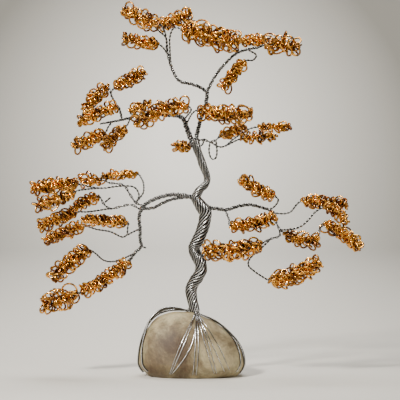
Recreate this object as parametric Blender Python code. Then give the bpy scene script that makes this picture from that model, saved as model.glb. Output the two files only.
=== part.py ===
"""Wire tree on a river stone: silver wires twisted into a tree, with coils of copper wire for leaves.

Metres, +Z up. The origin is on the table, under the middle of the stone, and -Y is the front.
The pose of the tree is drawn on a grid that starts at the foot of the trunk and is GRID_HEIGHT
steps high, so it grows with TREE_HEIGHT, while wires and loops keep their own sizes.
"""

import math
from collections import namedtuple

import bpy
import bmesh
import numpy as np
from mathutils import Vector
from mathutils.bvhtree import BVHTree

MM = 0.001

# Driving sizes
STONE_WIDTH = 85 * MM
STONE_DEPTH = 56 * MM
STONE_HEIGHT = 51.5 * MM
TREE_HEIGHT = 243 * MM
FOOT_OFFSET = 1.75 * MM  # the trunk stands this far right of the middle of the stone
TRUNK_RADIUS = 5.4 * MM  # at its thickest knot
LIMB_RADIUS = 2.8 * MM  # of the thickest limb
COIL_RADIUS = 10 * MM  # of the largest leaf coil
TWIG_RADIUS = 0.8 * MM  # two wires twisted together
COIL_WIRE_RADIUS = 0.4 * MM
ROOT_WIRE_RADIUS = 0.45 * MM
ANCHOR_WIRE_RADIUS = 0.7 * MM  # the heavier wires that grip the ends of the stone
GAP = 0.3 * MM  # left between pieces that touch

# Grid of the pose
GRID_HEIGHT = 304
STEP = TREE_HEIGHT / GRID_HEIGHT

# Fineness of the facets
RING_SPACING = 11 * MM
TRUNK_RING_SPACING = 6 * MM
ROOT_RING_SPACING = 5 * MM
LOOP_SIDES = 5  # odd, so that the dips of a coil move round from loop to loop
WIRE_SIDES = 3

# Shape of the leaf coils
LOOP_SPACING = 6.6 * MM  # along the twig
COIL_GROWS_OVER = 0.14  # share of the coil's length
PETAL_DIP = 0.7
COIL_MARGIN = 0.15 * MM

# Shape of the stone, as shares of its own sizes
STONE_AROUND = 22
STONE_LEVELS = 11
STONE_SECTION_POWER = 2.3  # 2 is an ellipse, more is boxier
LEFT_CROWN = (2.6, 0.28)  # full and round
RIGHT_CROWN = (3, 1)  # almost a straight slope
DEPTH_CROWN = (2.2, 0.5)
UNDERCUT_SHARE = 0.24  # of the height, below which the sides turn in
LEFT_FOOT_SHARE = 0.8
RIGHT_FOOT_SHARE = 0.86
DEPTH_FOOT_SHARE = 0.72
FLAT_TOP_SHARE = 0.005  # of the height
MIDDLE_HEIGHT = 0.45

# Twist of the wires, in radians for each metre
TRUNK_TWIST = 105
TWIG_TWIST = 70
TRUNK_STRANDS = 5
THREE_STRANDS_FROM = 2 * MM  # radius of a limb
BURIED_END = 0.6  # a limb or twig starts inside its parent, thinner by this share
TWIG_FLAT = 0.7  # the pair is this much narrower than wide
GROOVE = 0.8  # a groove between two strands is this share of the rope's radius

Coil = namedtuple("Coil", "name first last share")
Twig = namedtuple("Twig", "route coils thick", defaults=[1])
Limb = namedtuple("Limb", "name thick thin route cut_by coils twigs")


def clear_scene():
    for thing in list(bpy.data.objects):
        bpy.data.objects.remove(thing, do_unlink=True)


def make_material(name, colour, roughness, metallic):
    material = bpy.data.materials.new(name)
    material.use_nodes = True
    shader = material.node_tree.nodes["Principled BSDF"]
    shader.inputs["Base Color"].default_value = (*colour, 1)
    shader.inputs["Roughness"].default_value = roughness
    shader.inputs["Metallic"].default_value = metallic
    return material


def add_object(name, mesh, material):
    thing = bpy.data.objects.new(name, mesh)
    mesh.materials.append(material)
    bpy.context.scene.collection.objects.link(thing)
    return thing


def mesh_from(name, points, faces):
    mesh = bpy.data.meshes.new(name)
    mesh.from_pydata([tuple(p) for p in points], [], faces)
    mesh.validate()
    return mesh


def shade(thing, angle=40):
    thing.data.shade_smooth()
    thing.data.set_sharp_from_angle(angle=math.radians(angle))


def combine(thing, operation, others):
    """Joins the others to the object, or cuts them from it, and removes them."""
    tools = bpy.data.collections.new("tools")
    for other in others:
        tools.objects.link(other)
    for single in others if operation == "DIFFERENCE" else [None]:
        modifier = thing.modifiers.new("combine", "BOOLEAN")
        modifier.operation = operation
        modifier.solver = "EXACT"
        if single is None:
            modifier.use_self = False
            modifier.operand_type = "COLLECTION"
            modifier.collection = tools
        else:
            modifier.object = single
    bpy.context.view_layer.update()
    graph = bpy.context.evaluated_depsgraph_get()
    made = bpy.data.meshes.new_from_object(thing.evaluated_get(graph), depsgraph=graph)
    thing.modifiers.clear()
    thing.data = made
    for other in others:
        bpy.data.objects.remove(other, do_unlink=True)
    bpy.data.collections.remove(tools)


# Curves


def spline(controls, share):
    """The point at that share of a smooth curve through the control points, one unit for each span."""
    last = len(controls) - 1
    span = min(int(share), last - 1)
    t = share - span
    before = controls[span - 1] if span > 0 else 2 * controls[0] - controls[1]
    after = controls[span + 2] if span + 2 <= last else 2 * controls[last] - controls[last - 1]
    a, b = controls[span], controls[span + 1]
    return 0.5 * (
        2 * a
        + (b - before) * t
        + (2 * before - 5 * a + 4 * b - after) * t**2
        + (3 * a - before - 3 * b + after) * t**3
    )


def even_points(controls, first, last, spacing):
    """Points at about that spacing along the curve, from control point first to last."""
    fine = [spline(controls, s) for s in np.linspace(first, last, 24 * (len(controls) - 1) + 1)]
    lengths = np.cumsum([0] + [np.linalg.norm(b - a) for a, b in zip(fine, fine[1:])])
    count = max(2, round(lengths[-1] / spacing))
    wanted = np.linspace(0, lengths[-1], count + 1)
    return np.column_stack([np.interp(wanted, lengths, np.array(fine)[:, k]) for k in range(3)])


def ring_points(controls, spacing):
    """Every control point, and further points of the curve where two of them are far apart."""
    made = [controls[0]]
    for span, (a, b) in enumerate(zip(controls, controls[1:])):
        count = max(1, round(np.linalg.norm(b - a) / spacing))
        made += [spline(controls, span + k / count) for k in range(1, count + 1)]
    return np.array(made)


def frames_along(points):
    """A tangent, a side and an up vector at each point, turning as little as they can."""
    points = np.asarray(points)
    tangents = np.gradient(points, axis=0)
    tangents /= np.linalg.norm(tangents, axis=1)[:, None]
    up = np.array([0.0, 1.0, 0.0]) if abs(tangents[0][1]) < 0.9 else np.array([0.0, 0.0, 1.0])
    frames = []
    for tangent in tangents:
        up = up - tangent * (up @ tangent)
        up /= np.linalg.norm(up)
        frames.append((tangent, np.cross(up, tangent), up))
    return frames


# Shapes


def tube_mesh(name, points, radii, section, twist=0.0, grow=0.0):
    """A tube along the points. section gives the share of the radius at each corner round it."""
    frames = frames_along(points)
    points = np.array(points, float)
    points[0] -= frames[0][0] * grow
    points[-1] += frames[-1][0] * grow
    lengths = np.cumsum([0] + [np.linalg.norm(b - a) for a, b in zip(points, points[1:])])
    sides = len(section)
    corners = []
    for point, radius, along, (_, side, up) in zip(points, radii, lengths, frames):
        for k, share in enumerate(section):
            angle = 2 * math.pi * k / sides + twist * along
            reach = radius * share + grow
            corners.append(point + reach * (math.cos(angle) * side + math.sin(angle) * up))
    faces = [tuple(reversed(range(sides)))]
    for ring in range(len(points) - 1):
        for k in range(sides):
            a, b = ring * sides + k, ring * sides + (k + 1) % sides
            faces += [(a, b, a + sides), (b, b + sides, a + sides)]  # split along the twist
    faces.append(tuple(range((len(points) - 1) * sides, len(points) * sides)))
    mesh = mesh_from(name, corners, faces)
    tidy = bmesh.new()
    tidy.from_mesh(mesh)
    bmesh.ops.triangulate(tidy, faces=tidy.faces)
    bmesh.ops.recalc_face_normals(tidy, faces=tidy.faces)
    tidy.to_mesh(mesh)
    tidy.free()
    return mesh


def stone_reach(height):
    """Left, right and depth shares of the stone at a height share."""
    below = max(0.0, 1 - height / UNDERCUT_SHARE)
    feet = (LEFT_FOOT_SHARE, RIGHT_FOOT_SHARE, DEPTH_FOOT_SHARE)
    crowns = (LEFT_CROWN, RIGHT_CROWN, DEPTH_CROWN)
    return [
        (1 - height**inner) ** outer * (1 - (1 - foot) * below**2)
        for (inner, outer), foot in zip(crowns, feet)
    ]


def stone_mesh(name, grow=0.0):
    """The pebble as level rings. Each ring is a rounded box whose left and right sides differ."""
    corners = []
    top = 1 - FLAT_TOP_SHARE
    heights = [(k / (STONE_LEVELS - 1)) ** 0.9 * top for k in range(STONE_LEVELS)]
    for height in heights:
        left, right, depth = stone_reach(height)
        for k in range(STONE_AROUND):
            angle = 2 * math.pi * (k + 0.5) / STONE_AROUND
            across, away = math.cos(angle), math.sin(angle)
            side = right if across > 0 else left
            wave = 1 + 0.02 * math.sin(3 * angle + 4 * height) * math.sin(math.pi * height)
            x = math.copysign(abs(across) ** (2 / STONE_SECTION_POWER), across) * side
            y = math.copysign(abs(away) ** (2 / STONE_SECTION_POWER), away) * depth
            corners.append(
                (
                    x * wave * STONE_WIDTH / 2,
                    y * wave * STONE_DEPTH / 2,
                    height * STONE_HEIGHT,
                )
            )
    faces = [tuple(reversed(range(STONE_AROUND)))]
    for level in range(STONE_LEVELS - 1):
        for k in range(STONE_AROUND):
            a, b = level * STONE_AROUND + k, level * STONE_AROUND + (k + 1) % STONE_AROUND
            faces.append((a, b, b + STONE_AROUND, a + STONE_AROUND))
    last = (STONE_LEVELS - 1) * STONE_AROUND
    faces.append(tuple(range(last, last + STONE_AROUND)))
    mesh = mesh_from(name, corners, faces)
    if grow:
        normals = [v.normal.copy() for v in mesh.vertices]
        for vertex, normal in zip(mesh.vertices, normals):
            vertex.co += normal * grow
    return mesh


class StoneSurface:
    """Finds places on the stone for the wires that lie on it and for the foot of the trunk."""

    def __init__(self):
        mesh = stone_mesh("surface")
        self.tree = BVHTree.FromPolygons(
            [v.co for v in mesh.vertices], [p.vertices for p in mesh.polygons]
        )
        bpy.data.meshes.remove(mesh)

    def top_at(self, x, y):
        hit = self.tree.ray_cast(Vector((x, y, 2 * STONE_HEIGHT)), Vector((0, 0, -1)))
        return hit[0].z

    def lay(self, point, across, clearance):
        """Moves the point to the surface, straight away from the middle line along across."""
        middle = Vector(across) * Vector(across).dot(Vector(point))
        middle.z = STONE_HEIGHT * MIDDLE_HEIGHT
        way = (Vector(point) - middle).normalized()
        place, normal, _, _ = self.tree.ray_cast(middle, way)
        return np.array(place + way * (clearance / normal.dot(way)))


def coil_points(axis, radius, twig):
    """A wire wound round the twig, LOOP_SIDES points a turn. Every second point dips inwards.

    With an odd number of points a turn the dips move round from turn to turn, so the loops
    stand out like petals on all sides. At both ends the wire closes onto the twig.
    """
    frames = frames_along(axis)
    closed = (twig + COIL_WIRE_RADIUS + GAP) / math.cos(math.pi / LOOP_SIDES) + COIL_MARGIN
    made = []
    for k, (point, (_, side, up)) in enumerate(zip(axis, frames)):
        share = k / (len(axis) - 1)
        swell = min(1.0, share / COIL_GROWS_OVER, (1 - share) / COIL_GROWS_OVER) ** 0.7
        petal = 1 if k % 2 else PETAL_DIP
        reach = max(closed, radius * swell * petal)
        turn = 2 * math.pi * k / LOOP_SIDES
        made.append(point + reach * (math.cos(turn) * side + math.sin(turn) * up))
    return made


def add_coil(coil, controls, twig, material):
    """One leaf coil along its twig."""
    line = even_points(controls, coil.first, coil.last, 1 * MM)
    length = sum(np.linalg.norm(b - a) for a, b in zip(line, line[1:]))
    loops = max(3, round(length / LOOP_SPACING))
    axis = even_points(controls, coil.first, coil.last, length / (loops * LOOP_SIDES))
    points = coil_points(axis, coil.share * COIL_RADIUS - COIL_WIRE_RADIUS, twig)
    mesh = tube_mesh(coil.name, points, [COIL_WIRE_RADIUS] * len(points), [1] * WIRE_SIDES)
    shade(add_object(coil.name, mesh, material), 80)


# The pose. Each route is a list of grid points (right, back, up) from the foot of the trunk.
# A twig starts at a point of its limb or of an earlier twig. A coil runs along its twig from one
# point of the route to another. Thicknesses are shares of the named radii.

TRUNK = [
    ((1, 0, -3), 0.53), ((0, 0, 5), 0.64), ((-2, 1, 13), 0.82), ((-3, 1, 22), 0.92),
    ((0, 1, 30), 0.9), ((4, 0, 36), 0.9), ((7, -1, 43), 0.92), ((6, -1, 51), 0.95),
    ((2, 0, 58), 0.92), ((0, 1, 64), 0.92), ((3, 1, 71), 0.9), ((8, 0, 82), 0.91),
    ((11, 0, 94), 0.96), ((11, 0, 101), 1), ((7, 0, 107), 0.86), ((2, 0, 115), 0.7),
    ((6, 0, 123), 0.6), ((12, 0, 129), 0.55), ((13, 0, 136), 0.58), ((9, 0, 147), 0.64),
    ((6, 0, 156), 0.6), ((3, 0, 164), 0.66), ((1, 0, 174), 0.6),
]  # fmt: skip

LIMBS = [
    Limb(
        "crown_stem", 0.76, 0.66,
        [(1, 0, 170), (6, 0, 191), (11, 0, 206), (13, 0, 216), (13, 0, 223)],
        ["trunk"], [], [],
    ),
    Limb(
        "crown_left_limb", 0.6, 0.46,
        [(13, 0, 221), (5, -1, 226), (-4, -1, 229), (-13, 0, 231), (-18, 0, 236),
         (-23, 1, 247), (-26, 1, 258), (-27, 1, 263), (-27, 1, 268)],
        ["crown_stem"], [],
        [
            Twig([(-27, 1, 263), (-28, -2, 276), (-31, -5, 285), (-36, -6, 288),
                  (-46, -6, 291), (-58, -6, 297), (-70, -6, 302)],
                 [Coil("coil_crown_tip", 3, 6, 0.74)]),
            Twig([(-27, 1, 263), (-28, 5, 275), (-36, 11, 283), (-38, 14, 288), (-22, 14, 292),
                  (-3, 13, 301)], [Coil("coil_crown_top", 3, 5, 0.66)]),
            Twig([(-26, 1, 258), (-31, 0, 265), (-36, -1, 268), (-52, -2, 270),
                  (-71, -2, 275)], [Coil("coil_crown_left", 2, 4, 0.62)]),
            Twig([(-23, 1, 247), (-24, -2, 262), (-24, -6, 275), (-20, -9, 284),
                  (-12, -11, 283), (0, -11, 280), (14, -11, 277), (30, -10, 273),
                  (45, -10, 270)], [Coil("coil_crown_front", 4, 8, 0.96)]),
        ],
    ),
    Limb(
        "crown_right_limb", 0.54, 0.36,
        [(13, 0, 221), (19, 0, 233), (25, 0, 242), (33, 0, 251), (42, -1, 259),
         (53, -3, 263), (64, -5, 265), (71, -6, 268), (88, -6, 268), (104, -6, 264)],
        ["crown_stem", "crown_left_limb"], [Coil("coil_crown_right_tip", 7, 9, 0.88)],
        [
            Twig([(42, -1, 259), (43, 5, 267), (47, 11, 272), (58, 13, 273),
                  (72, 13, 272)], [Coil("coil_crown_right", 2, 4, 0.54)]),
            Twig([(53, -3, 263), (62, 4, 258), (59, 11, 253), (51, 16, 252),
                  (40, 19, 240), (29, 22, 225)], [Coil("coil_crown_hanging", 3, 5, 0.56)]),
        ],
    ),
    Limb(
        "middle_left_limb", 1, 0.3,
        [(-1, 0, 168), (-5, 0, 179), (-8, 0, 187), (-10, 1, 193), (-16, 3, 197),
         (-29, 5, 198), (-46, 5, 199), (-64, 3, 195), (-72, 2, 193), (-82, 0, 191),
         (-94, 0, 189)],
        ["trunk", "crown_stem"], [],
        [
            Twig([(-8, 0, 187), (-5, -7, 194), (-1, -14, 200), (4, -17, 202), (18, -18, 199),
                  (34, -18, 197), (46, -18, 198), (58, -17, 200)],
                 [Coil("coil_middle_right_front", 3, 7, 0.74)]),
            Twig([(-10, 1, 193), (-7, -9, 197), (-3, -17, 202), (-6, -20, 206),
                  (-22, -20, 206), (-40, -20, 199), (-58, -20, 190)],
                 [Coil("coil_middle_left_front", 3, 6, 0.76)]),
            Twig([(-46, 5, 199), (-60, 12, 198), (-64, 19, 201), (-56, 21, 206),
                  (-43, 21, 211)], [Coil("coil_middle_left_back", 2, 4, 0.46)]),
            Twig([(-64, 3, 195), (-66, 9, 190), (-69, 12, 186), (-80, 13, 176),
                  (-91, 13, 165)], [Coil("coil_middle_left_inner", 2, 4, 0.6)]),
            Twig([(-72, 2, 193), (-73, -5, 200), (-76, -9, 206), (-88, -10, 203),
                  (-102, -10, 197), (-115, -10, 190)],
                 [Coil("coil_middle_left_outer", 2, 5, 0.58)]),
            Twig([(-72, 2, 193), (-75, 2, 203), (-80, 2, 212), (-83, 1, 219), (-79, 0, 225),
                  (-65, 0, 232), (-50, 0, 241)], [Coil("coil_middle_left_top", 4, 6, 0.62)]),
            Twig([(-80, 2, 212), (-84, 9, 221), (-87, 14, 227), (-98, 15, 217),
                  (-110, 15, 202)], [Coil("coil_middle_left_shoulder", 2, 4, 0.64)]),
            Twig([(-82, 0, 191), (-86, -4, 185), (-89, -6, 180), (-104, -7, 173),
                  (-121, -7, 166)], [Coil("coil_middle_left_low", 2, 4, 0.66)]),
        ],
    ),
    Limb(
        "middle_right_limb", 0.5, 0.32,
        [(3, 0, 172), (10, 3, 173), (16, 4, 171), (22, 4, 173), (27, 4, 177), (38, 4, 181),
         (52, 4, 186)],
        ["trunk", "crown_stem", "middle_left_limb"], [Coil("coil_middle_right_inner", 4, 6, 0.52)],
        [
            Twig([(16, 4, 171), (25, 9, 166), (32, 14, 167), (47, 18, 174), (64, 19, 176),
                  (83, 19, 177)], [Coil("coil_middle_right_low", 3, 5, 0.52)]),
            Twig([(32, 14, 167), (42, 25, 175), (54, 34, 183), (65, 37, 186), (82, 38, 186),
                  (99, 38, 186)], [Coil("coil_middle_right_back", 3, 5, 0.44)]),
            Twig([(10, 3, 173), (8, 12, 168), (3, 22, 166), (-4, 27, 166), (-20, 28, 167)],
                 [Coil("coil_middle_back", 3, 4, 0.5)]),
            Twig([(16, 4, 171), (15, 6, 162), (17, 7, 155), (21, 6, 154), (23, 5, 160),
                  (22, 4, 173)], []),
        ],
    ),
    Limb(
        "left_limb", 0.8, 0.66,
        [(6, 0, 110), (-4, 0, 116), (-14, 0, 118), (-24, 0, 118), (-33, 0, 116), (-41, 0, 113),
         (-48, 0, 109), (-53, 0, 104)],
        ["trunk"], [],
        [Twig([(-4, 0, 116), (-14, 0, 115), (-24, -1, 113), (-33, -1, 109), (-41, -1, 105),
               (-53, 0, 104)], [], 2)],
    ),
    Limb(
        "left_drop_limb", 0.66, 0.34,
        [(-52, 0, 105), (-55, 0, 96), (-54, 0, 84), (-54, 0, 74), (-53, 0, 66), (-59, 0, 60),
         (-66, 1, 51), (-76, 2, 43), (-89, 3, 34), (-103, 2, 25), (-113, 1, 20), (-118, 0, 19),
         (-134, -2, 13), (-152, -3, 7)],
        ["left_limb"],
        [Coil("coil_left_low_inner", 6, 10, 0.66), Coil("coil_left_low_tip", 11, 13, 0.9)],
        [
            Twig([(-59, 0, 60), (-70, 13, 54), (-82, 16, 50), (-91, 6, 52), (-98, -4, 59),
                  (-104, -10, 63), (-112, -12, 60), (-123, -12, 51), (-134, -12, 42),
                  (-141, -12, 34)], [Coil("coil_left_low_top", 5, 9, 0.76)]),
            Twig([(-54, 0, 84), (-61, -5, 81), (-66, -9, 79), (-66, -10, 86), (-67, -10, 91),
                  (-88, -10, 92), (-112, -10, 94)],
                 [Coil("coil_left_middle_inner", 4, 6, 0.56)]),
            Twig([(-66, -9, 79), (-72, -3, 76), (-84, 2, 81), (-98, 9, 83), (-112, 12, 86),
                  (-132, 12, 79), (-151, 12, 71)], [Coil("coil_left_middle_low", 4, 6, 0.6)]),
            Twig([(-53, 0, 66), (-48, 0, 65)], []),
        ],
    ),
    Limb(
        "left_middle_limb", 0.46, 0.34,
        [(-53, 0, 103), (-63, 4, 108), (-74, 5, 106), (-84, 6, 104), (-91, 8, 109),
         (-96, 10, 116), (-110, 11, 110), (-125, 11, 102)],
        ["left_limb", "left_drop_limb"], [Coil("coil_left_middle_top", 5, 7, 0.5)],
        [
            Twig([(-84, 6, 104), (-98, 0, 102), (-108, -6, 101), (-117, -12, 101),
                  (-136, -13, 94), (-154, -13, 87)], [Coil("coil_left_middle_tip", 3, 5, 0.6)]),
            Twig([(-91, 8, 109), (-84, 7, 115)], []),
        ],
    ),
    Limb(
        "left_upper_limb", 0.48, 0.34,
        [(-50, 0, 107), (-58, 2, 110), (-64, 4, 118), (-70, 6, 127), (-77, 8, 129),
         (-86, 10, 130), (-93, 11, 133), (-115, 11, 131)],
        ["left_limb", "left_middle_limb", "left_drop_limb"],
        [Coil("coil_left_top_inner", 6, 7, 0.64)],
        [
            Twig([(-58, 2, 110), (-55, -4, 118), (-60, -8, 126), (-74, -10, 127),
                  (-94, -10, 125), (-116, -8, 129), (-132, -6, 129), (-147, -6, 127),
                  (-162, -6, 124)], [Coil("coil_left_top_tip", 5, 8, 0.66)]),
            Twig([(-94, -10, 125), (-107, -20, 124), (-118, -26, 122), (-136, -27, 114),
                  (-156, -26, 107)], [Coil("coil_left_top_low", 2, 4, 0.66)]),
            Twig([(-58, 2, 110), (-51, 8, 120), (-51, 17, 129), (-54, 28, 135),
                  (-58, 32, 138), (-75, 33, 137), (-94, 33, 136)],
                 [Coil("coil_left_top_back", 4, 6, 0.42)]),
        ],
    ),
    Limb(
        "right_limb", 0.72, 0.5,
        [(8, 0, 105), (16, 0, 105), (24, 0, 104), (32, 0, 103), (39, 0, 105), (46, 0, 107),
         (57, 0, 108), (69, 0, 105), (75, 0, 103), (80, 0, 100)],
        ["trunk"], [],
        [
            Twig([(75, 0, 103), (81, -3, 107), (84, -6, 113), (80, -8, 117), (72, -8, 119),
                  (60, -8, 125), (46, -8, 135)], [Coil("coil_right_top", 3, 6, 0.56)]),
            Twig([(80, 0, 100), (89, 1, 99), (97, 3, 101), (103, 5, 108), (108, 7, 111),
                  (120, 8, 111), (136, 8, 110), (154, 8, 108)],
                 [Coil("coil_right_tip_top", 4, 7, 0.6)]),
        ],
    ),
    Limb(
        "right_outer_limb", 0.48, 0.34,
        [(78, 0, 100), (82, -1, 91), (86, -3, 83), (91, -5, 80), (103, -5, 74), (118, -5, 71),
         (124, -4, 74), (126, 1, 83), (131, 6, 88), (140, 8, 84), (153, 9, 76), (168, 8, 64)],
        ["right_limb"],
        [Coil("coil_right_middle", 3, 6, 0.6), Coil("coil_right_tip_low", 8, 11, 0.62)],
        [
            Twig([(86, -3, 83), (96, -12, 84), (106, -15, 87), (114, -16, 94), (120, -15, 101),
                  (129, -14, 106), (138, -13, 104), (146, -12, 98), (152, -12, 90)],
                 [Coil("coil_right_tip_front", 5, 8, 0.56)]),
        ],
    ),
    Limb(
        "right_front_limb", 0.44, 0.34,
        [(32, 0, 103), (33, -9, 99), (35, -19, 94), (37, -27, 88), (55, -28, 90), (68, -28, 93),
         (80, -28, 98)],
        ["right_limb"], [Coil("coil_right_front_top", 3, 6, 0.66)], [],
    ),
    Limb(
        "right_low_limb", 0.44, 0.34,
        [(86, -3, 83), (85, -10, 77), (76, -22, 75), (66, -35, 71), (51, -38, 66),
         (31, -38, 65), (8, -37, 64)],
        ["right_outer_limb", "right_limb"], [Coil("coil_right_front_low", 3, 6, 0.84)],
        [
            Twig([(76, -22, 75), (67, -20, 66), (56, -20, 56), (54, -24, 49), (59, -28, 44),
                  (66, -27, 39), (76, -24, 34), (92, -22, 36), (107, -22, 43), (125, -22, 52)],
                 [Coil("coil_right_low", 6, 9, 0.8)]),
        ],
    ),
]  # fmt: skip

# Roots. Each wire runs straight from the foot of the trunk to a place at the bottom of the
# stone, given as a share of half its width, and lies on the stone all the way.
FRONT_ROOTS = [-0.48, -0.41, -0.33, 0.02, 0.12, 0.38, 0.46, 0.62, 0.72]
BACK_ROOTS = [-0.55, -0.4, 0.05, 0.45, 0.6]
LEFT_ROOTS = [-0.5, 0.1, 0.6]  # as shares of half the depth
RIGHT_ROOTS = [-0.4, -0.15, 0.1, 0.4]
ROOT_SPREAD = 0.4  # root wires start this share of a diameter apart, so they touch
ROOT_START_SHARE = 1.35  # root wires start this share of the trunk's foot radius from its axis
ROOT_END_HEIGHT = 0.06  # share of the stone's height at which the wires end
LAY_MARGIN = 0.7 * MM  # the flat facets of a wire dip towards the stone between their corners
STRAIGHTENINGS = 4


def grid_route(points, foot):
    return [foot + np.array(p, float) * STEP for p in points]


def rope_section(strands, groove):
    return [1 if k % 2 == 0 else groove for k in range(2 * strands)]


def rope_mesh(name, controls, thick, thin, grow=0.0):
    """A limb: twisted strands, tapering from thick to thin. A thin limb has two, others three."""
    points = ring_points(controls, RING_SPACING)
    radii = np.linspace(thick, thin, len(points))
    if not grow:
        radii[0] *= BURIED_END
    section = rope_section(3 if thick > THREE_STRANDS_FROM else 2, GROOVE)
    return tube_mesh(name, points, radii, section, TWIG_TWIST, grow)


def twig_mesh(name, controls, radius, grow=0.0):
    """Two twisted wires: a flat section that turns along the twig. Its buried end is thinner."""
    points = ring_points(controls, RING_SPACING)
    radii = np.full(len(points), radius)
    if not grow:
        radii[0] *= BURIED_END
    return tube_mesh(name, points, radii, [1, TWIG_FLAT, 1, TWIG_FLAT], TWIG_TWIST, grow)


def trunk_mesh(name, foot, grow=0.0):
    controls = grid_route([point for point, _ in TRUNK], foot)
    points = even_points(controls, 0, len(controls) - 1, TRUNK_RING_SPACING)
    shares = np.linspace(0, len(TRUNK) - 1, len(points))
    radii = np.interp(shares, range(len(TRUNK)), [share * TRUNK_RADIUS for _, share in TRUNK])
    return tube_mesh(name, points, radii, rope_section(TRUNK_STRANDS, GROOVE), TRUNK_TWIST, grow)


def add_limb(limb, foot, cutters, silver, copper):
    controls = grid_route(limb.route, foot)
    thick, thin = limb.thick * LIMB_RADIUS, limb.thin * LIMB_RADIUS
    body = add_object(limb.name, rope_mesh(limb.name, controls, thick, thin), silver)
    twigs = [(grid_route(twig.route, foot), twig.thick * TWIG_RADIUS) for twig in limb.twigs]
    if twigs:
        combine(body, "UNION", [add_object("twig", twig_mesh("twig", *twig), silver) for twig in twigs])
    shapes = [mesh for name in limb.cut_by for mesh in cutters[name]()]
    combine(body, "DIFFERENCE", [add_object("cutter", mesh, silver) for mesh in shapes])
    shade(body)
    for coil in limb.coils:
        share = coil.first / (len(controls) - 1)
        add_coil(coil, controls, thick + (thin - thick) * share, copper)
    for twig, (route, radius) in zip(limb.twigs, twigs):
        for coil in twig.coils:
            add_coil(coil, route, radius, copper)
    cutters[limb.name] = lambda: [
        rope_mesh("cutter", controls, thick, thin, GAP),
        *(twig_mesh("cutter", *twig, GAP) for twig in twigs),
    ]


def root_points(surface, start, end, across, radius):
    """A wire laid on the stone, straight when seen square to across.

    A point that is moved to the surface changes its height, so its place along across is worked
    out again from the new height, a few times over.
    """
    across = np.array(across, float)
    clearance = radius + GAP + LAY_MARGIN
    first, last = (surface.lay(point, across, clearance) for point in (start, end))
    count = max(3, round(np.linalg.norm(end - start) / ROOT_RING_SPACING))
    points = []
    for share in np.linspace(0, 1, count + 1):
        point = start + (end - start) * share
        for _ in range(STRAIGHTENINGS):
            point = surface.lay(point, across, clearance)
            fallen = (first[2] - point[2]) / (first[2] - last[2])
            point += across * (across @ (first + (last - first) * fallen - point))
        points.append(surface.lay(point, across, clearance))
    return points


def add_root_group(name, radius, foot, out, across, ends, surface, silver):
    """Wires that start side by side at the foot of the trunk and spread over one side of the stone."""
    clear = TRUNK_RADIUS * TRUNK[0][1] * ROOT_START_SHARE + radius + GAP
    wires = []
    for k, end in enumerate(ends):
        slot = 2 * radius * ROOT_SPREAD * (k - (len(ends) - 1) / 2)
        start = foot + np.array(out) * clear + np.array(across) * slot
        points = root_points(surface, start, np.array(end), across, radius)
        mesh = tube_mesh(name, points, [radius] * len(points), [1] * WIRE_SIDES)
        wires.append(add_object(name, mesh, silver))
    body, *others = wires
    combine(body, "UNION", others)
    shade(body)


def add_roots(foot, surface, silver):
    wide, deep, low = STONE_WIDTH / 2, STONE_DEPTH / 2, ROOT_END_HEIGHT * STONE_HEIGHT
    front, back = (0, -1, 0), (0, 1, 0)
    left, right = (-1, 0, 0), (1, 0, 0)
    fans = [
        ("root_wires_front", ROOT_WIRE_RADIUS, front, right, [(s * wide, -deep, low) for s in FRONT_ROOTS]),
        ("root_wires_back", ROOT_WIRE_RADIUS, back, right, [(s * wide, deep, low) for s in BACK_ROOTS]),
        ("root_wires_left", ANCHOR_WIRE_RADIUS, left, back, [(-wide, s * deep, low) for s in LEFT_ROOTS]),
        ("root_wires_right", ROOT_WIRE_RADIUS, right, back, [(wide, s * deep, low) for s in RIGHT_ROOTS]),
    ]
    for name, radius, out, across, ends in fans:
        add_root_group(name, radius, foot, out, across, ends, surface, silver)


def main():
    clear_scene()
    silver = make_material("silver wire", (0.62, 0.62, 0.61), 0.3, 1.0)
    copper = make_material("copper wire", (0.80, 0.40, 0.12), 0.28, 1.0)
    pebble = make_material("river stone", (0.62, 0.55, 0.44), 0.6, 0.0)

    surface = StoneSurface()
    foot = np.array((FOOT_OFFSET, 0, surface.top_at(FOOT_OFFSET, 0)))
    shade(add_object("stone", stone_mesh("stone"), pebble))

    trunk = add_object("trunk", trunk_mesh("trunk", foot), silver)
    combine(trunk, "DIFFERENCE", [add_object("cutter", stone_mesh("cutter", GAP), silver)])
    shade(trunk)

    cutters = {"trunk": lambda: [trunk_mesh("cutter", foot, GAP)]}
    for limb in LIMBS:
        add_limb(limb, foot, cutters, silver, copper)

    add_roots(foot, surface, silver)


main()
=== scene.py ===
# %% [markdown]
# # A wire tree on a river stone
#
# The real ornament is made of three things. A river stone is the foot. A bundle of silver wires
# is twisted into a trunk and parted again into boughs and twigs. Copper wire is wound into curly
# loops round every twig for the leaves.
#
# A wire is a round section carried along a line, so nearly everything here comes from one
# function, tube(), and the work is in finding good lines. All shapes are worked out with numpy
# as whole arrays, and each one replaces the plain solid of the same name.

# %% Start from the solid model
import math
from collections import namedtuple

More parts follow.
